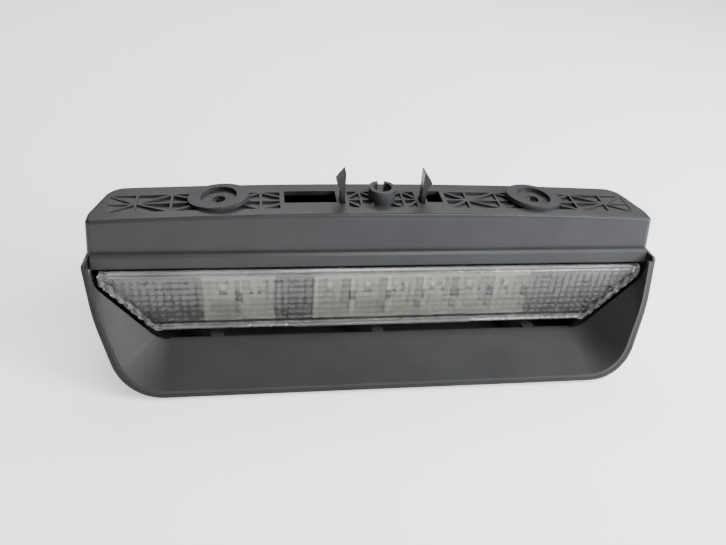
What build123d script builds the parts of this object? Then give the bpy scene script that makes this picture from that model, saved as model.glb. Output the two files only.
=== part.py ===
from build123d import *

# Third brake light with a hood: an upper cover, a hood and a rear cover around a row of diodes behind a
# clear lens. X runs along the lamp, -Y points at the window glass and +Z points at the car roof. The origin
# is on the axis of the centre boss, level with the middle of the top face. All sizes are in millimetres.

import os
from math import atan2, cos, degrees, hypot, radians, sin

# ---- driving dimensions ----
top_half = 151.6  # half width of the top face
base_half = 152.8  # half width where the upper cover meets the rear cover
front_edge = -17.5  # y of the top face's front edge
rear_edge = 17.4  # y of the top face's rear edge
crown = 3.45  # drop of the top face at crown_at from the middle
crown_at = 150.0
split_height = -22.3  # z of the joint between the upper cover and the rear cover
cover_wall = 2.4
edge_round = 1.9  # radius along the top face's edges
shell_wall = 1.6  # wall of the hood and of the rear cover
joint_gap = 0.2  # gap between the hood's rim and the rear cover

rim_top = (0, -29.5, -24.6)  # middle of the rim's upper end
rim_slope = 32.8  # lean of the window glass from vertical, in degrees
rim_half = 154.2  # half length of the rim's upper end
rim_height = 65.6  # length of the rim down the glass
opening_front = -28.8  # y of the hood's inner opening
opening_floor = -71.5  # z of the hood's floor at that opening

lens_face = -28.5  # y of the lens
lens_top = -27.9
lens_bottom = -65.6
lens_wall = 2.2
housing_back = -4.0  # y of the back of the lamp housing
housing_wall = 2.0
cell_pitch = 20.0
first_cell = -86.0  # x of the first reflector cell's middle
cell_count = 9
blank_cell = 2  # index of the cell that holds no diode
lamp_middle = -46.8  # z of the diode row

pad_x = 87.0
pad_half_width = 16.0  # the pads are oval, wider along the lamp
pad_half_depth = 13.0
pad_thick = 2.6
column_radius = 12.0
column_depth = 9.6  # depth of the pad columns below the pads
pad_rise = 2.4  # height of the pad's middle above the face
pad_tilt = 5.7  # outward lean of the pads, in degrees
recess_radius = 9.6
recess_depth = 2.2
stud_hole_radius = 3.5

boss_radius = 7.4
boss_height = 6.6
boss_bore = 5.0
boss_slot = 3.6  # width of the slot at the boss's rear

hook_x = 22.0  # x of the hook stems
hook_front = -6.3
hook_depth = 7.0
hook_height = 18.0
hook_pivot = -2.0  # z of the hook root
root_radius = 1.7
root_clearance = 0.05

pocket_front = -10.3
pocket_rear = 7.0
pocket_depth = 1.3
rib_width = 1.3
pocket_floor = 1.6  # thickness under the pockets

crown_radius = crown_at**2 / (2 * crown)
side_bend = -9.0  # y where the end walls start to lean inward
side_lean = 8.0  # how far the rear corners lie inside the front ones

os.makedirs("parts", exist_ok=True)


def face_height(x):
    """Height of the crowned top face at x."""
    return -(x**2) / (2 * crown_radius)


def at_y(y):
    """Upright plane at y that faces the glass, with its second axis along +Z."""
    return Plane.XZ.offset(-y)


def mirrored_outline(plane, corners, radii):
    """Closed outline from the corners on its right-hand side, each rounded, and their mirror images."""
    with BuildSketch(plane) as outline:
        with BuildLine():
            opposite = [(-x, y) for x, y in reversed(corners)]
            Polyline(*corners, *opposite, close=True)
        make_face()
        for (x, y), radius in zip(corners, radii):
            corner = [v for v in outline.vertices() if hypot(abs(v.X) - x, v.Y - y) < 0.01]
            if radius:
                fillet(corner, radius)
    return outline.sketch


def crown_profile(drop):
    """Cross-section under a crowned line that lies drop below the top face."""
    half = top_half + 20
    edge = face_height(half) - drop
    low = 2 * split_height
    with BuildSketch(Plane.XZ) as profile:
        with BuildLine():
            ThreePointArc((-half, edge), (0, -drop), (half, edge))
            Polyline((half, edge), (half, low), (-half, low), (-half, edge))
        make_face()
    return profile.sketch


def cover_plan(height, half, front, rear, inset):
    """Plan outline of the upper cover at a height, drawn inward by inset."""
    corners = [
        (half - inset, front + inset),
        (half - inset, side_bend),
        (half - side_lean - inset, rear - inset),
    ]
    return mirrored_outline(Plane.XY.offset(height), corners, (3, 14, 11))


# ---- upper cover: top plate, end walls, front wall and rear wall ----
base_front = -21.3  # y of the front wall at the joint
base_rear = 18.2
ledge_thick = 1.4
tongue_depth = 2.8
tongue_outside = 2.9  # inset of the tongue's outer face
tongue_inside = 4.3
band_half = 150.6  # half length of the band above the lens
band_outside = [(-19.2, -19.8), (-22.9, -20.2), (-24.2, -21.5), (-25.4, -27.2)]
band_inside = [(-23.4, -27.2), (-22.3, -22.6), (-19.2, -22.6)]
post_end = -30.0  # z where the housing's brackets meet the cover's posts
post_places = [(-118, 2), (-60, 5), (60, 5), (118, 2)]
post_radius = 3.4
screw_bore = 1.4
tab_x = 108.0  # tabs that take the rear cover's screws
tab_screw_height = -31.0
tab_width = 9.0
tab_thick = 8.0
tab_back = 12.5
nut_side = 10.0
nut_height = 3.2
nut_top = -3.8  # height of the nuts' slots from the pads
nut_play = 0.4
thread_radius = 2.5
centre_thread_radius = 2.1
insert_radius = 4.95
insert_top = 1.2
insert_bottom = -7.5
boss_floor = 1.5
window_front = -4.6
window_rear = 7.9
windows = [(-52.6, -24.9), (24.9, 33.6)]  # x of the long window and of the short one
root_block_width = 5.6
root_block_margin = 3.6
root_slot_width = 3.1  # slot that the hook's stem leans in

with BuildPart() as cover_hollow:
    loft(
        [
            cover_plan(0, top_half, front_edge, rear_edge, cover_wall).face(),
            cover_plan(split_height - 2, base_half, base_front, base_rear, cover_wall).face(),
        ],
        ruled=True,
    )
    extrude(crown_profile(cover_wall), amount=60, both=True, mode=Mode.INTERSECT)


def pocket_bay(low_x, high_x, crossings, diagonals):
    """Open area of one bay of pockets: its outline without the ribs that divide it."""
    middle = (pocket_front + pocket_rear) / 2
    ribs = [((low_x, middle), (high_x, middle))]
    ribs += [((x, pocket_front), (x, pocket_rear)) for x in crossings]
    for star, corner in diagonals:
        ribs.append(((star, middle), (corner, pocket_front)))
        ribs.append(((star, middle), (corner, pocket_rear)))
    with BuildSketch(Plane.XY.offset(1)) as bay:
        with Locations(((low_x + high_x) / 2, middle)):
            Rectangle(high_x - low_x, pocket_rear - pocket_front)
        for (x1, y1), (x2, y2) in ribs:
            with Locations(((x1 + x2) / 2, (y1 + y2) / 2)):
                Rectangle(
                    hypot(x2 - x1, y2 - y1),
                    rib_width,
                    rotation=degrees(atan2(y2 - y1, x2 - x1)),
                    mode=Mode.SUBTRACT,
                )
    return bay.sketch


def pad_plane(side):
    """Tilted plane of a pad's top face; side is -1 on the left and 1 on the right."""
    tilt = radians(pad_tilt)
    height = face_height(pad_x) + pad_rise
    return Plane(origin=(side * pad_x, 0.5, height), x_dir=(0, 1, 0), z_dir=(side * sin(tilt), 0, cos(tilt)))


# Each bay: its ends, its cross ribs, and its diagonals from a middle point to the edges at another x.
bays = [
    (-143, -97, [-129, -111], [(-129, -143), (-129, -111), (-93, -111)]),
    (-79, -55, [-65], [(-83, -65), (-48, -65)]),
    (-18.5, 18.5, [-11.6, 11.6], [(-20.5, -11.6), (0, -11.6), (0, 11.6), (20.5, 11.6)]),
    (36, 79, [48, 65.5], [(48, 36), (48, 65.5), (83, 65.5)]),
    (97, 143, [111, 129], [(93, 111), (129, 111), (129, 143)]),
]

with BuildPart() as upper_cover:
    loft(
        [
            cover_plan(0, top_half, front_edge, rear_edge, 0).face(),
            cover_plan(split_height, base_half, base_front, base_rear, 0).face(),
        ],
        ruled=True,
    )
    extrude(crown_profile(0), amount=60, both=True, mode=Mode.INTERSECT)
    fillet(upper_cover.faces().sort_by(Axis.Z)[-1].edges(), edge_round)
    add(cover_hollow.part, mode=Mode.SUBTRACT)
    # ledge inside the wall, and the tongue below it that the rear cover's upper edge slips over
    extrude(cover_plan(split_height, base_half, base_front, base_rear, cover_wall / 2), amount=ledge_thick)
    extrude(cover_plan(split_height, base_half, base_front, base_rear, tongue_outside), amount=-tongue_depth)
    extrude(
        cover_plan(split_height + ledge_thick, base_half, base_front, base_rear, tongue_inside),
        amount=-ledge_thick - tongue_depth - 1,
        mode=Mode.SUBTRACT,
    )
    # step and band above the lens
    with BuildSketch(Plane.YZ.offset(-band_half)) as band:
        with BuildLine():
            Polyline(*band_outside, *band_inside, close=True)
        make_face()
    extrude(amount=2 * band_half)
    # the plate is thicker under each bay of pockets
    for low_x, high_x, crossings, diagonals in bays:
        bay_floor = face_height((low_x + high_x) / 2) - pocket_depth
        with BuildSketch(Plane.XY.offset(bay_floor - pocket_floor)):
            with Locations(((low_x + high_x) / 2, (pocket_front + pocket_rear) / 2)):
                Rectangle(high_x - low_x + 2 * pocket_floor, pocket_rear - pocket_front + 2 * pocket_floor)
        extrude(amount=pocket_floor)
        extrude(pocket_bay(low_x, high_x, crossings, diagonals), amount=bay_floor - 1, mode=Mode.SUBTRACT)
    # windows: a long one for the harness on the left, a short one on the right
    for low_x, high_x in windows:
        with BuildSketch(Plane.XY.offset(5)):
            with Locations(((low_x + high_x) / 2, (window_front + window_rear) / 2)):
                Rectangle(high_x - low_x, window_rear - window_front)
        extrude(amount=-14, mode=Mode.SUBTRACT)
    # blocks that hold the hook roots
    for side in (-1, 1):
        with BuildSketch(Plane.XY.offset(-5)):
            with Locations((side * (hook_x - 0.25), hook_front + hook_depth / 2)):
                Rectangle(root_block_width, hook_depth + root_block_margin)
        extrude(amount=4.2)
        root_middle = hook_front + hook_depth / 2
        with BuildSketch(at_y(root_middle)):
            with Locations((side * hook_x, hook_pivot)):
                Circle(root_radius + root_clearance)
        extrude(amount=hook_depth / 2 + 0.1, both=True, mode=Mode.SUBTRACT)
        with BuildSketch(Plane.XY.offset(hook_pivot)):
            with Locations((side * (hook_x - 0.2), root_middle)):
                Rectangle(root_slot_width, hook_depth + 0.2)
        extrude(amount=5, mode=Mode.SUBTRACT)
    # washer pads on hollow columns, each with a side slot for a square nut
    for side in (-1, 1):
        plane = pad_plane(side)
        with BuildSketch(plane):
            Ellipse(pad_half_depth, pad_half_width)
        extrude(amount=-pad_thick)
        with BuildSketch(plane.offset(-1)):
            Circle(column_radius)
        extrude(amount=1 - column_depth)
        with BuildSketch(plane):
            Circle(recess_radius)
        extrude(amount=-recess_depth, mode=Mode.SUBTRACT)
        with BuildSketch(plane):
            Circle(stud_hole_radius)
        extrude(amount=-20, mode=Mode.SUBTRACT)
        with BuildSketch(plane.offset(nut_top)):
            with Locations((4.5, 0)):
                Rectangle(2 * nut_side, nut_side + nut_play)
        extrude(amount=-nut_height - nut_play, mode=Mode.SUBTRACT)
    # centre boss, open to the rear through a slot
    with BuildSketch(Plane.XY.offset(insert_bottom - boss_floor)):
        Circle(boss_radius)
    extrude(amount=boss_height - insert_bottom + boss_floor)
    with BuildSketch(Plane.XY.offset(boss_height)):
        Circle(boss_bore)
    extrude(amount=insert_bottom - boss_height, mode=Mode.SUBTRACT)
    with BuildSketch(Plane.XY.offset(boss_height)):
        with Locations((0, boss_radius)):
            Rectangle(boss_slot, 2 * boss_radius)
    extrude(amount=-boss_height + 0.1, mode=Mode.SUBTRACT)
    # posts and tabs that hang from the plate
    for place in post_places:
        post_top = face_height(place[0]) - pocket_depth - pocket_floor / 2
        with BuildSketch(Plane.XY.offset(post_end)):
            with Locations(place):
                Circle(post_radius)
        extrude(amount=post_top - post_end)
        with BuildSketch(Plane.XY.offset(post_end)):
            with Locations(place):
                Circle(screw_bore)
        extrude(amount=12, mode=Mode.SUBTRACT)
    for side in (-1, 1):
        with BuildSketch(Plane.XY.offset(tab_screw_height - 5)):
            with Locations((side * tab_x, tab_back - tab_thick / 2)):
                Rectangle(tab_width, tab_thick)
        extrude(amount=-tab_screw_height + 1)
        with BuildSketch(at_y(tab_back)):
            with Locations((side * tab_x, tab_screw_height)):
                Circle(screw_bore)
        extrude(amount=7, mode=Mode.SUBTRACT)
upper_cover.part.label = "upper_cover"
export_step(upper_cover.part, "parts/upper_cover.step")

# ---- snap hooks: one on each side of the boss, barbs outward ----
stem_half = 1.1
barb_reach = 3.6
barb_height = 12.0
barb_foot = 7.2

for side, name in ((-1, "left_snap_hook"), (1, "right_snap_hook")):
    root_middle = hook_front + hook_depth / 2
    with BuildPart() as snap_hook:
        with BuildSketch(at_y(hook_front + hook_depth)):
            with BuildLine():
                Polyline(
                    (side * (hook_x - stem_half), hook_pivot),
                    (side * (hook_x - stem_half), hook_height),
                    (side * (hook_x - stem_half + 0.5), hook_height),
                    (side * (hook_x + barb_reach - 0.2), barb_height + 0.6),
                    (side * (hook_x + barb_reach), barb_height),
                    (side * (hook_x + stem_half), barb_foot),
                    (side * (hook_x + stem_half), hook_pivot),
                    close=True,
                )
            make_face()
        extrude(amount=hook_depth)
        with BuildSketch(at_y(root_middle)):
            with Locations((side * hook_x, hook_pivot)):
                Circle(root_radius)
        extrude(amount=hook_depth / 2, both=True)
        fillet(snap_hook.edges().filter_by(Axis.Y).sort_by(Axis.Z)[-2:], 0.3)
    snap_hook.part.label = name
    export_step(snap_hook.part, f"parts/{name}.step")

# ---- threaded insert in the boss, and square nuts in the pad columns ----
with BuildPart() as boss_insert:
    with BuildSketch(Plane.XY.offset(insert_bottom)):
        Circle(insert_radius)
        Circle(centre_thread_radius, mode=Mode.SUBTRACT)
    extrude(amount=insert_top - insert_bottom)
    with BuildSketch(Plane.XY.offset((insert_top + insert_bottom) / 2)):
        Circle(insert_radius + 1)
        Circle(insert_radius - 0.6, mode=Mode.SUBTRACT)
    extrude(amount=0.6, both=True, mode=Mode.SUBTRACT)
boss_insert.part.label = "boss_insert"
export_step(boss_insert.part, "parts/boss_insert.step")

with BuildPart() as pad_nuts:
    for side in (-1, 1):
        with BuildSketch(pad_plane(side).offset(nut_top - nut_play / 2)):
            Rectangle(nut_side, nut_side)
            Circle(thread_radius, mode=Mode.SUBTRACT)
        extrude(amount=-nut_height)
pad_nuts.part.label = "pad_nuts"
export_step(pad_nuts.part, "parts/pad_nuts.step")

# ---- hood: a scoop from the lens opening to the rim on the glass ----
slope = radians(rim_slope)
rim_plane = Plane(origin=rim_top, x_dir=(1, 0, 0), z_dir=(0, -cos(slope), sin(slope)))
rim_inset = 2 * shell_wall + joint_gap
trim_height = -24.5  # everything of the hood lies below this
trim_side = 400.0
apron_bottom = -77.5
apron_half = 115.0
hood_boss_radius = 3.6
hood_screws = [(-90, -24.5), (0, -24.5), (90, -24.5)]
recess_top = -79.3  # seat of the hood screws' heads


def rim_outline(inset, top):
    """Outline in the rim's plane, drawn inward by inset, with its upper side at top."""
    corners = [(rim_half - inset, top), (149.3 - inset, -24.5), (134.3 - inset, -rim_height + inset)]
    return mirrored_outline(rim_plane, corners, (0, 100, 28 - inset)).face()


def opening_outline(inset, top):
    """Outline of the hood's opening round the lens, drawn inward by inset."""
    corners = [(149.9 - inset, top), (149.7 - inset, -35.5), (120.5 - inset / 2, opening_floor + inset)]
    return mirrored_outline(at_y(opening_front), corners, (0, 14, 13 - inset)).face()


with BuildPart() as hood:
    loft([rim_outline(shell_wall + joint_gap, 0.4), opening_outline(-1.4, -24.2)], ruled=True)
    with BuildSketch(at_y(opening_front + shell_wall)):
        with Locations((0, (apron_bottom + opening_floor) / 2)):
            Rectangle(2 * apron_half, opening_floor - apron_bottom)
    extrude(amount=shell_wall)
    for x, y in hood_screws:
        with BuildSketch(Plane.XY.offset(apron_bottom)):
            with Locations((x, y)):
                Circle(hood_boss_radius)
        extrude(amount=opening_floor - apron_bottom)
        with BuildSketch(Plane.XY.offset(apron_bottom)):
            with Locations((x, y)):
                Circle(screw_bore)
        extrude(amount=5, mode=Mode.SUBTRACT)
    loft([rim_outline(rim_inset, 0.7), opening_outline(0, -24.0)], ruled=True, mode=Mode.SUBTRACT)
    with BuildSketch(Plane.XY.offset(trim_height)):
        Rectangle(trim_side, trim_side)
    extrude(amount=40, mode=Mode.SUBTRACT)
hood.part.label = "hood"
export_step(hood.part, "parts/hood.step")

# ---- rear cover: the shell that the cabin sees ----
shell_top = -20.5


def shell_outline(y, corners, radii, inset):
    """Outline of the rear cover across y, drawn inward by inset."""
    moved = [(x - inset, z + (inset if z < shell_top else 0)) for x, z in corners]
    return mirrored_outline(at_y(y), moved, radii).face()


def shell_sections(inset, rear):
    """Sections of the rear cover from its first upright section back to y = rear."""
    return [
        shell_outline(-27.0, [(154.0, shell_top), (151.9, -52), (137.5, -82.0)], (0, 60, 26 - inset), inset),
        shell_outline(-4.0, [(152.6, shell_top), (148.5, -48), (135.5, -76.5)], (0, 60, 24 - inset), inset),
        shell_outline(10.0, [(147.8, shell_top), (143, -40), (132.0, -64.0)], (0, 50, 20 - inset), inset),
        shell_outline(rear, [(135.5, shell_top), (132, -32), (124, -47.0)], (0, 40, 14 - inset), inset),
    ]


pad_top = -77.7  # upper face of the pads under the hood's screw bosses
shell_rear = 18.6
tab_pad_front = 12.8
mouth_depth = 9.0
mouth_height = 2.6
tab_head_seat = 15.4
well_radius = 5.6
head_hole = 3.9
shank_hole = 1.9

with BuildPart() as rear_cover:
    outer = shell_sections(0, shell_rear)
    inner = shell_sections(shell_wall, shell_rear - shell_wall)
    loft(outer)
    loft([rim_outline(0, 0.5), outer[0]], ruled=True)
    loft(inner, mode=Mode.SUBTRACT)
    loft([rim_outline(shell_wall, 0.7), inner[0]], ruled=True, mode=Mode.SUBTRACT)
    with BuildSketch(Plane.XY.offset(split_height - joint_gap)):
        Rectangle(trim_side, trim_side)
    extrude(amount=40, mode=Mode.SUBTRACT)
    # the front stays open above the hood
    with BuildSketch(Plane.XY.offset(split_height)):
        with Locations((0, rim_top[1])):
            Rectangle(2 * (rim_half - shell_wall), mouth_depth)
    extrude(amount=-mouth_height, mode=Mode.SUBTRACT)
    # recessed wells under the hood's screws
    for place in hood_screws:
        with BuildSketch(Plane.XY.offset(pad_top)):
            with Locations(place):
                Circle(well_radius)
        extrude(amount=-3.6)
        with BuildSketch(Plane.XY.offset(recess_top)):
            with Locations(place):
                Circle(head_hole)
        extrude(amount=-8, mode=Mode.SUBTRACT)
        with BuildSketch(Plane.XY.offset(recess_top)):
            with Locations(place):
                Circle(shank_hole)
        extrude(amount=4, mode=Mode.SUBTRACT)
    # recessed wells behind the upper cover's tabs
    for side in (-1, 1):
        place = (side * tab_x, tab_screw_height)
        with BuildSketch(at_y(shell_rear - 0.4)):
            with Locations(place):
                Circle(well_radius)
        extrude(amount=shell_rear - 0.4 - tab_pad_front)
        with BuildSketch(at_y(shell_rear + 1)):
            with Locations(place):
                Circle(head_hole)
        extrude(amount=shell_rear + 1 - tab_head_seat, mode=Mode.SUBTRACT)
        with BuildSketch(at_y(shell_rear)):
            with Locations(place):
                Circle(shank_hole)
        extrude(amount=10, mode=Mode.SUBTRACT)
rear_cover.part.label = "rear_cover"
export_step(rear_cover.part, "parts/rear_cover.step")

# ---- lens: a clear plate with a skirt that slides over the housing ----


def lens_outline(y, inset):
    """Outline of the lens across y, drawn inward by inset."""
    corners = [
        (148.4 - inset, lens_top - inset),
        (148.0 - inset, -35.5 + 0.36 * inset),
        (123.0 - 0.5 * inset, lens_bottom + inset),
    ]
    rounding = max(0.2, 1 - inset / 5)
    return mirrored_outline(at_y(y), corners, (3 * rounding, 8 * rounding, 6))


skirt_depth = 6.0
skirt_wall = 1.8
with BuildPart() as lens:
    extrude(lens_outline(lens_face + skirt_depth, 0), amount=skirt_depth)
    hollow = lens_outline(lens_face + skirt_depth, skirt_wall)
    extrude(hollow, amount=skirt_depth - lens_wall, mode=Mode.SUBTRACT)
lens.part.label = "lens"
export_step(lens.part, "parts/lens.step")

# ---- lamp housing: the tray behind the lens ----
bracket_thick = 2.5
bracket_width = 11.0
board_screw_x = (-98.0, -46.0, 88.0)
board_back = -10.4
board_thick = 1.6
flange_front = lens_face + skirt_depth + 0.1
socket_x = -46.0
inlet_height = -37.0  # z of the way through the housing for the terminals
socket_back = 8.0
socket_foot = -42.0
socket_top = -24.0

with BuildPart() as lamp_housing:
    extrude(lens_outline(housing_back, 2.1), amount=housing_back - lens_face - lens_wall - 0.2)
    extrude(lens_outline(flange_front + housing_wall, 0), amount=housing_wall)
    extrude(
        lens_outline(housing_back - housing_wall, 2.1 + housing_wall),
        amount=housing_back - housing_wall - lens_face,
        mode=Mode.SUBTRACT,
    )
    for x, y in post_places:
        with BuildSketch(Plane.XY.offset(post_end)):
            with Locations((x, (housing_back + y + 4) / 2 - 0.5)):
                Rectangle(bracket_width, y + 5 - housing_back)
        extrude(amount=-bracket_thick)
        with BuildSketch(Plane.XY.offset(post_end)):
            with Locations((x, y)):
                Circle(shank_hole)
        extrude(amount=-10, mode=Mode.SUBTRACT)
    for x in board_screw_x:
        with BuildSketch(at_y(housing_back - housing_wall + 0.5)):
            with Locations((x, lamp_middle)):
                Circle(3)
        extrude(amount=housing_back - housing_wall - board_back + 0.5)
        with BuildSketch(at_y(housing_back - housing_wall)):
            with Locations((x, lamp_middle)):
                Circle(1.1)
        extrude(amount=10, mode=Mode.SUBTRACT)
    with BuildSketch(at_y(housing_back + 1)):
        with Locations((socket_x, inlet_height)):
            Rectangle(11, 6)
    extrude(amount=housing_wall + 2, mode=Mode.SUBTRACT)
lamp_housing.part.label = "lamp_housing"
export_step(lamp_housing.part, "parts/lamp_housing.step")

# ---- reflector: bright cells in front of the diodes, shallow dummy cells at the ends ----
reflector_front = -25.4
reflector_back = -16.2
cell_width = 18.6
cell_height = 24.0
cell_floor = 1.4
cell_taper = 26.0
diode_hole = 3.1
dummy_cells = (-106.0, 94.0, 114.0)
dummy_height = 21.0
dummy_depth = 5.0

with BuildPart() as reflector:
    extrude(lens_outline(reflector_back, 4.4), amount=reflector_back - reflector_front)
    for index in range(cell_count):
        with BuildSketch(at_y(reflector_front)):
            with Locations((first_cell + index * cell_pitch, lamp_middle)):
                Rectangle(cell_width, cell_height)
        extrude(amount=reflector_front - reflector_back + cell_floor, taper=cell_taper, mode=Mode.SUBTRACT)
        if index != blank_cell:
            with BuildSketch(at_y(reflector_back + 1)):
                with Locations((first_cell + index * cell_pitch, lamp_middle)):
                    Circle(diode_hole)
            extrude(amount=cell_floor + 2, mode=Mode.SUBTRACT)
    for x in dummy_cells:
        with BuildSketch(at_y(reflector_front)):
            with Locations((x, lamp_middle)):
                Rectangle(cell_width, dummy_height)
        extrude(amount=-dummy_depth, taper=cell_taper, mode=Mode.SUBTRACT)
reflector.part.label = "reflector"
export_step(reflector.part, "parts/reflector.step")

# ---- circuit board and what is soldered to it ----
board_front = board_back - board_thick
board_left = -104.0
board_right = 94.0
board_low = -59.0
board_high = -34.6
terminal_offsets = (-2.5, 2.5)

with BuildPart() as circuit_board:
    with BuildSketch(at_y(board_back)):
        with Locations(((board_left + board_right) / 2, (board_low + board_high) / 2)):
            Rectangle(board_right - board_left, board_high - board_low)
        with Locations(*[(x, lamp_middle) for x in board_screw_x]):
            Circle(1.5, mode=Mode.SUBTRACT)
        with Locations(*[(socket_x + x, inlet_height) for x in terminal_offsets]):
            Rectangle(3.1, 1.1, mode=Mode.SUBTRACT)
    extrude(amount=board_thick)
circuit_board.part.label = "circuit_board"
export_step(circuit_board.part, "parts/circuit_board.step")

diode_places = [first_cell + i * cell_pitch for i in range(cell_count) if i != blank_cell]
with BuildPart() as light_diodes:
    for x in diode_places:
        with BuildSketch(at_y(board_front)):
            with Locations((x, lamp_middle)):
                Rectangle(5, 5)
        extrude(amount=2)
        with BuildSketch(at_y(board_front - 1)):
            with Locations((x, lamp_middle)):
                Circle(2.2)
        extrude(amount=3)
light_diodes.part.label = "light_diodes"
export_step(light_diodes.part, "parts/light_diodes.step")


def board_blocks(places, length, height, thick):
    """Small block-shaped components on the front of the board."""
    with BuildPart() as blocks:
        for x, z in places:
            with BuildSketch(at_y(board_front)):
                with Locations((x, z)):
                    Rectangle(length, height)
            extrude(amount=thick)
    return blocks.part


components = {
    "resistors": ([(x + 6, -56.5) for x in diode_places], 3.2, 1.6, 0.6),
    "blocking_diode": ([(-40.0, -56.0)], 4.3, 2.6, 2.2),
    "surge_suppressor": ([(-51.0, -56.0)], 4.6, 3.6, 2.3),
    "filter_capacitors": ([(-52.5, -51.0), (-40.0, -51.0)], 3.2, 2.5, 1.6),
    "driver_transistors": ([(-53.5, -39.0), (-38.5, -39.0)], 5.4, 4.5, 1.6),
}
for name, (places, length, height, thick) in components.items():
    component = board_blocks(places, length, height, thick)
    component.label = name
    export_step(component, f"parts/{name}.step")

# ---- harness socket behind the housing, mouth upward under the long window ----
socket_wall = 1.2
socket_width = 15.0
with BuildPart() as harness_socket:
    with BuildSketch(Plane.XY.offset(socket_foot)):
        with Locations((socket_x, (socket_back + housing_back + 0.1) / 2)):
            Rectangle(socket_width, socket_back - housing_back - 0.1)
    extrude(amount=socket_top - socket_foot)
    with BuildSketch(Plane.XY.offset(socket_top)):
        with Locations((socket_x, (socket_back + housing_back + 0.1) / 2)):
            Rectangle(socket_width - 2 * socket_wall, socket_back - housing_back - 0.1 - 2 * socket_wall)
    extrude(amount=-11, mode=Mode.SUBTRACT)
    with BuildSketch(at_y(housing_back + 0.2)):
        with Locations((socket_x, inlet_height)):
            Rectangle(10.8, 5.8)
    extrude(amount=housing_wall + 0.2)
    for x in terminal_offsets:
        with BuildSketch(at_y(1.02)):
            with Locations((socket_x + x, inlet_height)):
                Rectangle(2.84, 0.84)
        extrude(amount=12, mode=Mode.SUBTRACT)
        with BuildSketch(Plane.XY.offset(inlet_height)):
            with Locations((socket_x + x, 0.6)):
                Rectangle(2.84, 0.84)
        extrude(amount=10, mode=Mode.SUBTRACT)
harness_socket.part.label = "harness_socket"
export_step(harness_socket.part, "parts/harness_socket.step")

with BuildPart() as socket_terminals:
    for x in terminal_offsets:
        with BuildSketch(Plane.YZ.offset(socket_x + x - 1.4)):
            with BuildLine():
                Polyline((board_front - 0.6, -37.4), (1.0, -37.4), (1.0, -26.5), (0.2, -26.5), (0.2, -36.6))
                Polyline((0.2, -36.6), (board_front - 0.6, -36.6), (board_front - 0.6, -37.4))
            make_face()
        extrude(amount=2.8)
socket_terminals.part.label = "socket_terminals"
export_step(socket_terminals.part, "parts/socket_terminals.step")

# ---- screws: pan heads with a cross recess ----
head_radius = 3.2
head_height = 2.2
shank_radius = 1.35


def pan_screw(plane, length, head, height, shank):
    """Screw whose head sits on the plane, with its shank going down the plane's axis."""
    with BuildPart() as screw:
        with BuildSketch(plane):
            Circle(head)
        extrude(amount=height)
        fillet(screw.faces().sort_by(Axis(plane.origin, plane.z_dir))[-1].edges(), 0.6)
        with BuildSketch(plane):
            Circle(shank)
        extrude(amount=-length)
        with BuildSketch(plane.offset(height)):
            Rectangle(head * 1.1, 0.7)
            Rectangle(0.7, head * 1.1)
        extrude(amount=-1.1, mode=Mode.SUBTRACT)
    return screw.part


def screw_set(name, planes, length, head=head_radius, height=head_height, shank=shank_radius):
    """Write one node that holds a set of like screws."""
    turned = [pan_screw(plane, length, head, height, shank) for plane in planes]
    with BuildPart() as screws:
        add(turned)
    screws.part.label = name
    export_step(screws.part, f"parts/{name}.step")


downward = Vector(0, 0, -1)
screw_set(
    "housing_screws",
    [Plane((x, y, post_end - bracket_thick), x_dir=(1, 0, 0), z_dir=downward) for x, y in post_places],
    12,
)
screw_set(
    "hood_screws",
    [Plane((x, y, recess_top), x_dir=(1, 0, 0), z_dir=downward) for x, y in hood_screws],
    6,
)
screw_set(
    "rear_cover_screws",
    [Plane((x, tab_head_seat, tab_screw_height), x_dir=(1, 0, 0), z_dir=(0, 1, 0)) for x in (-tab_x, tab_x)],
    9,
)
screw_set(
    "board_screws",
    [Plane((x, board_front, lamp_middle), x_dir=(1, 0, 0), z_dir=(0, -1, 0)) for x in board_screw_x],
    4.5,
    head=2.3,
    height=1.5,
    shank=1.08,
)
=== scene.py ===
import random
from math import radians

import bpy
from mathutils import Matrix, Vector


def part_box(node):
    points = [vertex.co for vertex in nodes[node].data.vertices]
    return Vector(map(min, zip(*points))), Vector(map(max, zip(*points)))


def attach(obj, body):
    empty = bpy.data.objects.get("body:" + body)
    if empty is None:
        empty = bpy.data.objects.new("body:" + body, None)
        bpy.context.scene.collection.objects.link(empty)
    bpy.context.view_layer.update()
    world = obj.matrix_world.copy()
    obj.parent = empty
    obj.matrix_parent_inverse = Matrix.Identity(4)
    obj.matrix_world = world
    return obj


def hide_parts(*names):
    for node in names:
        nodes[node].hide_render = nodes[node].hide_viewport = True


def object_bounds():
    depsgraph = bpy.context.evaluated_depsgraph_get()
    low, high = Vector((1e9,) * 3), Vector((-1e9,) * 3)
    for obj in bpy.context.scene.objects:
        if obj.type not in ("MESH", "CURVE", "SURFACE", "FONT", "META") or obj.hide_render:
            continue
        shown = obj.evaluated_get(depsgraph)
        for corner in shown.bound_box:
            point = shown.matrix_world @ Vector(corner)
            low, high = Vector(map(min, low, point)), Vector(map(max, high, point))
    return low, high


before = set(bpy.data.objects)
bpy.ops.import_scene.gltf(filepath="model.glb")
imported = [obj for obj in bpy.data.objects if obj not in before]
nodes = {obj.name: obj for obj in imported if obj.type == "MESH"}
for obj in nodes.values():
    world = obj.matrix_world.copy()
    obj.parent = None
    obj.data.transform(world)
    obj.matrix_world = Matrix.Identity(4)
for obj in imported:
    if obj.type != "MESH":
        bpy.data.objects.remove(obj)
cad_low, cad_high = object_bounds()
scene = bpy.context.scene
random.seed(7)

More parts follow.
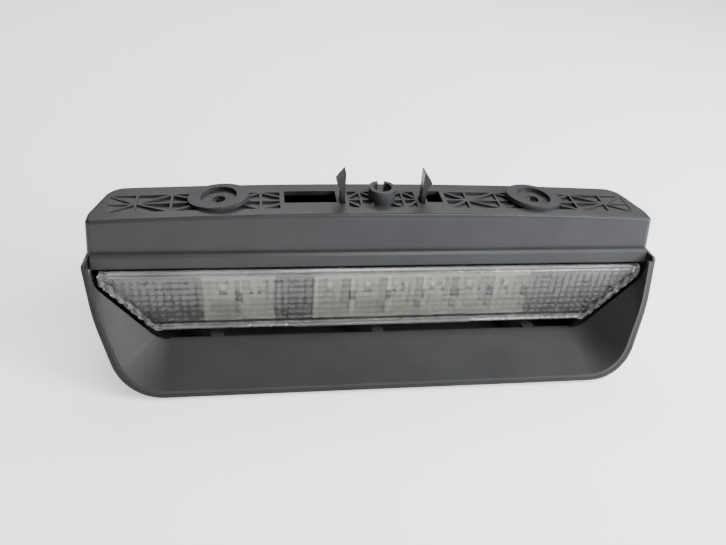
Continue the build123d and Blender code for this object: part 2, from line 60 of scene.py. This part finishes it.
# ---- studio: table top, camera and soft lights ----
# The lamp lies on a white table top. A diffuser at the right front is the strongest light, so the left end
# is darker. A long one overhead and one behind draw thin highlights along the rounded edges. The camera
# looks down at the glass side from a little to the left.
table_size = 8.0
table_gap = 0.0005
table_color = (0.93, 0.93, 0.94)
table_glow = 0.9
table_roughness = 0.9
table_mesh = bpy.data.meshes.new("table_top")
table_level = cad_low.z - table_gap
table_half = table_size / 2
table_corners = [
    (-table_half, -table_half, table_level),
    (table_half, -table_half, table_level),
    (table_half, table_half, table_level),
    (-table_half, table_half, table_level),
]
table_mesh.from_pydata(table_corners, [], [(0, 1, 2, 3)])
table = bpy.data.objects.new("table_top", table_mesh)
scene.collection.objects.link(table)
table_paint = bpy.data.materials.new("white_table_top")
table_paint.use_nodes = True
table_shader = table_paint.node_tree.nodes["Principled BSDF"]
table_shader.inputs["Base Color"].default_value = (*table_color, 1)
table_shader.inputs["Roughness"].default_value = table_roughness
table_shader.inputs["Emission Color"].default_value = (1, 1, 1, 1)
table_shader.inputs["Emission Strength"].default_value = table_glow
table_mesh.materials.append(table_paint)

camera_data = bpy.data.cameras.new("studio_camera")
camera_data.sensor_width = 36
camera_data.lens = 34.71
camera = bpy.data.objects.new("studio_camera", camera_data)
scene.collection.objects.link(camera)
camera_place = Vector((-0.0680, -0.3304, 0.1815))
look = Vector((0.1508, 0.8103, -0.5662)).normalized()
right = Vector((0.9883, -0.1336, 0.0733))
right = (right - look * right.dot(look)).normalized()
over = right.cross(look)
camera.matrix_world = Matrix(
    (
        (right.x, over.x, -look.x, camera_place.x),
        (right.y, over.y, -look.y, camera_place.y),
        (right.z, over.z, -look.z, camera_place.z),
        (0, 0, 0, 1),
    )
)
scene.camera = camera


def diffuser(name, place, target, width, height, power, color=(1, 1, 1)):
    """Large soft light that faces a target point."""
    data = bpy.data.lights.new(name, "AREA")
    data.shape = "RECTANGLE"
    data.size = width
    data.size_y = height
    data.energy = power
    data.color = color
    light = bpy.data.objects.new(name, data)
    light.location = place
    light.rotation_euler = (Vector(target) - Vector(place)).to_track_quat("-Z", "Y").to_euler()
    scene.collection.objects.link(light)


diffuser("right_diffuser", (0.80, -0.40, 0.30), (0.10, 0, -0.03), 0.35, 0.35, 17.0, (0.95, 0.97, 1.0))
diffuser("long_overhead_diffuser", (0.42, -0.34, 0.78), (0.06, 0, 0), 1.1, 0.14, 12.0)
diffuser("back_diffuser", (0.20, 0.85, 0.88), (0.02, 0, 0), 1.4, 0.3, 14.0)
world = bpy.data.worlds.new("studio_world")
world.use_nodes = True
world.node_tree.nodes["Background"].inputs["Color"].default_value = (1, 1, 1, 1)
world.node_tree.nodes["Background"].inputs["Strength"].default_value = 0.12
scene.world = world

# ---- upper cover ----
# Injection-moulded dark grey polypropylene with a fine spark-eroded grain, matt on the walls. Its ribbed
# top face goes up against the tailgate, and the nuts in its two pads and the insert in its boss hold it.


patch_scale = 38
grain_strength = 0.6
smoothest = 0.02


def finish(name, color, roughness, grain, depth, mottling=0.1, metallic=0.0, scatter=0.06, mirror=0.5):
    """Material with broad colour variation, uneven roughness and a fine surface grain."""
    material = bpy.data.materials.new(name)
    material.use_nodes = True
    tree = material.node_tree
    shader = tree.nodes["Principled BSDF"]
    shader.inputs["Metallic"].default_value = metallic
    shader.inputs["Specular IOR Level"].default_value = mirror
    place = tree.nodes.new("ShaderNodeTexCoord")
    broad = tree.nodes.new("ShaderNodeTexNoise")
    broad.inputs["Scale"].default_value = patch_scale
    broad.inputs["Detail"].default_value = 4
    fine = tree.nodes.new("ShaderNodeTexNoise")
    fine.inputs["Scale"].default_value = grain
    fine.inputs["Detail"].default_value = 3
    shades = tree.nodes.new("ShaderNodeValToRGB")
    shades.color_ramp.elements[0].position = 0.3
    shades.color_ramp.elements[1].position = 0.7
    shades.color_ramp.elements[0].color = (*[c * (1 - mottling) for c in color], 1)
    shades.color_ramp.elements[1].color = (*[c * (1 + mottling) for c in color], 1)
    gloss = tree.nodes.new("ShaderNodeMapRange")
    gloss.inputs["To Min"].default_value = max(smoothest, roughness - scatter)
    gloss.inputs["To Max"].default_value = roughness + scatter
    relief = tree.nodes.new("ShaderNodeBump")
    relief.inputs["Strength"].default_value = grain_strength
    relief.inputs["Distance"].default_value = depth
    link = tree.links.new
    link(place.outputs["Object"], broad.inputs["Vector"])
    link(place.outputs["Object"], fine.inputs["Vector"])
    link(broad.outputs["Fac"], shades.inputs["Fac"])
    link(shades.outputs["Color"], shader.inputs["Base Color"])
    link(fine.outputs["Fac"], gloss.inputs["Value"])
    link(gloss.outputs["Result"], shader.inputs["Roughness"])
    link(fine.outputs["Fac"], relief.inputs["Height"])
    link(relief.outputs["Normal"], shader.inputs["Normal"])
    return material


def dress(node, material):
    """Give a CAD node its finish."""
    mesh = nodes[node].data
    mesh.materials.clear()
    mesh.materials.append(material)


cover_grey = finish("grained_cover_plastic", (0.030, 0.031, 0.0325), 0.37, 900, 0.00003, mirror=0.25)
dress("upper_cover", cover_grey)

# ---- snap hooks ----
# The same plastic as the cover, in a darker shade and with a shallower grain. Each hook stands on its root in
# the cover and bends inward as its barb enters the slot in the tailgate.
hook_grey = finish("smooth_hook_plastic", (0.012, 0.0125, 0.013), 0.36, 700, 0.00002, mirror=0.25)
dress("left_snap_hook", hook_grey)
dress("right_snap_hook", hook_grey)

# ---- hood ----
# Scoop-shaped moulding that shuts the light off from the cabin. Matt dark grey inside, so that it doesn't
# mirror the diodes, and screwed to the rear cover from below.
hood_grey = finish("matt_hood_plastic", (0.036, 0.0365, 0.037), 0.42, 900, 0.00003, mirror=0.25)
dress("hood", hood_grey)

# ---- rear cover ----
# The shell that the cabin sees, moulded in the same grained plastic as the upper cover, a little glossier.
# Its upper edge slips over the upper cover's tongue, and two screws hold it there.
shell_grey = finish("grained_shell_plastic", (0.028, 0.029, 0.030), 0.36, 900, 0.00003, mirror=0.3)
dress("rear_cover", shell_grey)

# ---- lamp housing ----
# Black moulded tray behind the lens, unpainted and slightly shiny. It holds the reflector and the board, and
# screws hang it from the upper cover.
housing_black = finish("black_housing_plastic", (0.006, 0.006, 0.007), 0.42, 500, 0.00002)
dress("lamp_housing", housing_black)

# ---- reflector ----
# Dark moulding coated with aluminium over the lit cells. The coating is masked at both ends and over the
# blank cell, where the bare plastic shows.
# Small dark patches are also painted at one height on the walls between cells.
coat_color = (0.40, 0.40, 0.365)
bare_color = (0.055, 0.058, 0.062)
coated_spans = [(-0.0965, -0.0575), (-0.0370, 0.0835)]
cell_pitch = 0.020
middle_wall = 0.0036
marked_walls = [-4, -1, 0, 1, 2, 3, 4]
wall_mark_half = 0.0016
wall_mark_low = -0.0500
wall_mark_high = -0.0430
coating = finish("aluminium_coating", coat_color, 0.40, 260, 0.00006, mottling=0.12, metallic=0.35)
coat_tree = coating.node_tree
coat_shader = coat_tree.nodes["Principled BSDF"]
coat_place = coat_tree.nodes.new("ShaderNodeTexCoord")
coat_axes = coat_tree.nodes.new("ShaderNodeSeparateXYZ")
coat_tree.links.new(coat_place.outputs["Object"], coat_axes.inputs["Vector"])


def between(tree, value, low, high):
    """Mask that is 1 where a coordinate lies between two limits."""
    above = tree.nodes.new("ShaderNodeMath")
    above.operation = "GREATER_THAN"
    above.inputs[1].default_value = low
    below = tree.nodes.new("ShaderNodeMath")
    below.operation = "LESS_THAN"
    below.inputs[1].default_value = high
    both = tree.nodes.new("ShaderNodeMath")
    both.operation = "MULTIPLY"
    tree.links.new(value, above.inputs[0])
    tree.links.new(value, below.inputs[0])
    tree.links.new(above.outputs[0], both.inputs[0])
    tree.links.new(below.outputs[0], both.inputs[1])
    return both.outputs[0]


def combine(tree, first, second, operation):
    """Arithmetic of two masks."""
    node = tree.nodes.new("ShaderNodeMath")
    node.operation = operation
    node.use_clamp = True
    tree.links.new(first, node.inputs[0])
    tree.links.new(second, node.inputs[1])
    return node.outputs[0]


coated = None
for low, high in coated_spans:
    span = between(coat_tree, coat_axes.outputs["X"], low, high)
    coated = span if coated is None else combine(coat_tree, coated, span, "ADD")
# Small dark patches painted at one height on the walls between cells.
wall_band = between(coat_tree, coat_axes.outputs["Z"], wall_mark_low, wall_mark_high)
for step in marked_walls:
    wall = middle_wall + cell_pitch * step
    mark = between(coat_tree, coat_axes.outputs["X"], wall - wall_mark_half, wall + wall_mark_half)
    mark = combine(coat_tree, mark, wall_band, "MULTIPLY")
    coated = combine(coat_tree, coated, mark, "SUBTRACT")
coat_link = coat_shader.inputs["Base Color"].links[0].from_socket
coat_mix = coat_tree.nodes.new("ShaderNodeMixRGB")
coat_mix.inputs["Color1"].default_value = (*bare_color, 1)
coat_tree.links.new(coated, coat_mix.inputs["Fac"])
coat_tree.links.new(coat_link, coat_mix.inputs["Color2"])
coat_tree.links.new(coat_mix.outputs["Color"], coat_shader.inputs["Base Color"])
dress("reflector", coating)

# ---- lens ----
# A clear acrylic moulding. Its face is a grid of small pillows that spread the light, with satin steps along
# its upper and lower edges and ribs along its slanted ends. The skirt is a ring just behind the plate.
lens_low, lens_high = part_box("lens")
lens_front = lens_low.y
pillow_width = 0.00407
pillow_parts = 4
pillow_rise = 0.00055
pillow_sink = 0.0003
pillow_spread = 1.1
pillow_droop = 0.5
pillow_lean = 0.00012
plate_thickness = 0.0022
plate_back = lens_front + plate_thickness
step_rows = 2
step_parts = 3
step_height = 0.0020
step_depths = [0.0004, 0.0001]
upper_dish = 0.0007
clear_dish = 0.0003
lower_dish = 0.0006
lower_ribs = 0.0004
end_strip = 0.0045
end_sink = 0.0002
end_ribs = 0.0009
row_count = 8
bend_height = -0.0355
lower_half = 0.1228
edge_margin = 0.0006
upper_half = lens_high.x - edge_margin
corner_cut = 0.0022
clear_from = -0.048
clear_to = 0.052
skirt_wall = 0.0015
skirt_gap = 0.0002
skirt_inset = 0.0024
skirt_bend_inset = 0.0016
skirt_drop = 0.0012
skirt_front = plate_back + skirt_gap
skirt_back = lens_high.y
field_top = lens_high.z - step_rows * step_height
field_bottom = lens_low.z + step_rows * step_height
row_height = (field_top - field_bottom) / row_count
bands = []
for step in range(step_rows):
    bands.append(("upper", step, lens_high.z - step * step_height, step_height, step_parts))
for row in range(row_count):
    bands.append(("field", row, field_top - row * row_height, row_height, pillow_parts))
for step in range(step_rows):
    bands.append(("lower", step, field_bottom - step * step_height, step_height, step_parts))


def lens_half(z):
    """Half length of the lens at a height."""
    if z > lens_high.z - corner_cut:
        return upper_half - corner_cut / 2
    if z > bend_height:
        return upper_half
    return upper_half + (lower_half - upper_half) * (bend_height - z) / (bend_height - lens_low.z)


def face_depth(kind, index, u, v, x, toward_end, wobble):
    """How far the front lies behind the foremost plane, at a place in one block of a band."""
    if toward_end < end_strip:
        return end_sink + end_ribs * abs(u) * (1 - v * v)
    if kind == "field":
        return pillow_rise * (pillow_spread * u * u + pillow_droop * v * v) + pillow_sink + wobble * (u + v)
    if kind == "lower" and clear_from < x < clear_to:
        return step_depths[index] + clear_dish * v * v
    if kind == "upper":
        return step_depths[index] + upper_dish * v * v + wobble * u
    return step_depths[index] + lower_dish * v * v + lower_ribs * u * u + wobble * u


lens_points = []
lens_faces = []
satin_faces = set()
corner_numbers = {}
column_step = pillow_width / pillow_parts
row_lines = 0
wobble_count = 2 * int(upper_half / column_step) + 2
face_corners = [(0, 1), (1, 1), (1, 0), (0, 0)]
for kind, index, band_top, band_height, parts in bands:
    wobbles = [random.uniform(-pillow_lean, pillow_lean) for _ in range(wobble_count)]
    for part in range(parts):
        half = lens_half(band_top - band_height * (part + 0.5) / parts)
        last_column = int(half / column_step)
        for column in range(-last_column, last_column):
            block = (column + pillow_parts // 2) // pillow_parts
            face = []
            for column_offset, part_offset in face_corners:
                corner_column = column + column_offset
                corner_part = part + part_offset
                key = (corner_column, row_lines + corner_part)
                if key not in corner_numbers:
                    x = corner_column * column_step
                    u = 2 * (corner_column - block * pillow_parts) / pillow_parts
                    v = 2 * corner_part / parts - 1
                    depth = face_depth(kind, index, u, v, x, half - abs(x), wobbles[block])
                    corner_numbers[key] = len(lens_points)
                    z = band_top - band_height * corner_part / parts
                    lens_points.append((x, lens_front + depth, z))
                face.append(corner_numbers[key])
            if kind != "field" or half - abs((column + 0.5) * column_step) < end_strip:
                satin_faces.add(len(lens_faces))
            lens_faces.append(tuple(face))
    row_lines += parts
front_count = len(lens_points)
lens_points.extend([(x, plate_back, z) for x, y, z in lens_points])
front_edges = []
for face in list(lens_faces):
    lens_faces.append(tuple(number + front_count for number in reversed(face)))
    front_edges.extend(zip(face, [*face[1:], face[0]]))
shared_edges = set(front_edges)
for first, second in front_edges:
    if (second, first) not in shared_edges:
        lens_faces.append((second, first, first + front_count, second + front_count))

corners = [
    (upper_half - skirt_inset, lens_high.z - skirt_drop),
    (upper_half - skirt_bend_inset, bend_height),
    (lower_half - skirt_inset, lens_low.z + skirt_drop),
]
outside = [*corners, *[(-x, z) for x, z in reversed(corners)]]
inside = []
for x, z in outside:
    inner_x = x - skirt_wall if x > 0 else x + skirt_wall
    inner_z = z
    if z > bend_height:
        inner_z = z - skirt_wall
    if z < bend_height:
        inner_z = z + skirt_wall
    inside.append((inner_x, inner_z))
ring = []
skirt_loops = [(outside, skirt_front), (outside, skirt_back), (inside, skirt_back), (inside, skirt_front)]
for outline, y in skirt_loops:
    ring.append(len(lens_points))
    lens_points.extend([(x, y, z) for x, z in outline])
count = len(outside)
for first, second in zip(ring, [*ring[1:], ring[0]]):
    for index in range(count):
        after = (index + 1) % count
        lens_faces.append((first + index, first + after, second + after, second + index))

sharp_turn = 26
lens_mesh = bpy.data.meshes.new("pillow_lens")
lens_mesh.from_pydata(lens_points, [], lens_faces)
lens_mesh.validate()
lens_mesh.shade_smooth()
lens_mesh.set_sharp_from_angle(angle=radians(sharp_turn))
lens_mesh.update()
lens = bpy.data.objects.new("pillow_lens", lens_mesh)
scene.collection.objects.link(lens)
acrylic = finish("clear_acrylic", (0.86, 0.87, 0.83), 0.13, 300, 0.000006, mottling=0.05, scatter=0.06)
satin = finish("satin_acrylic_edge", (0.52, 0.53, 0.52), 0.20, 420, 0.00002, mottling=0.35, scatter=0.10)
acrylic_ior = 1.49
for material, clearness in ((acrylic, 0.98), (satin, 0.80)):
    shader = material.node_tree.nodes["Principled BSDF"]
    shader.inputs["Transmission Weight"].default_value = clearness
    shader.inputs["IOR"].default_value = acrylic_ior
lens_mesh.materials.append(acrylic)
lens_mesh.materials.append(satin)
for number in satin_faces:
    lens_mesh.polygons[number].material_index = 1
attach(lens, "lamp")
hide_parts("lens")

# ---- circuit board and its components ----
# Glass-fibre board with a green solder mask. The diodes are moulded in clear resin, and the other components
# are black-bodied or ceramic. All are soldered to the board.
board_green = finish("green_board_mask", (0.012, 0.070, 0.030), 0.38, 400, 0.00001)
dress("circuit_board", board_green)
diode_resin = finish("clear_diode_resin", (0.72, 0.66, 0.60), 0.18, 600, 0.000005)
dress("light_diodes", diode_resin)
component_black = finish("black_component_epoxy", (0.012, 0.012, 0.013), 0.50, 1200, 0.00001)
for node in ("resistors", "blocking_diode", "surge_suppressor", "driver_transistors"):
    dress(node, component_black)
ceramic = finish("capacitor_ceramic", (0.42, 0.32, 0.22), 0.55, 900, 0.00001)
dress("filter_capacitors", ceramic)

# ---- harness socket and its terminals ----
# Black nylon socket behind the housing, whose mouth faces up under the long window. Its two tinned blades
# pass through the housing to the board.
socket_nylon = finish("socket_nylon", (0.010, 0.010, 0.011), 0.45, 700, 0.00001)
dress("harness_socket", socket_nylon)
tinned = finish("tinned_blade", (0.62, 0.62, 0.60), 0.30, 800, 0.00001, metallic=1.0)
dress("socket_terminals", tinned)

# ---- nuts, insert and screws ----
# Zinc-plated square nuts slide into the pad columns, and a turned brass insert sits in the boss. The screws
# inside are plated, and those that show from outside are black.
brass = finish("turned_brass", (0.66, 0.50, 0.24), 0.26, 900, 0.00002, metallic=1.0)
dress("boss_insert", brass)
zinc = finish("zinc_plate", (0.66, 0.67, 0.68), 0.28, 700, 0.00002, metallic=1.0)
dress("pad_nuts", zinc)
dress("board_screws", zinc)
dress("housing_screws", zinc)
black_steel = finish("blackened_steel", (0.020, 0.020, 0.021), 0.38, 700, 0.00002, metallic=0.6)
dress("hood_screws", black_steel)
dress("rear_cover_screws", black_steel)
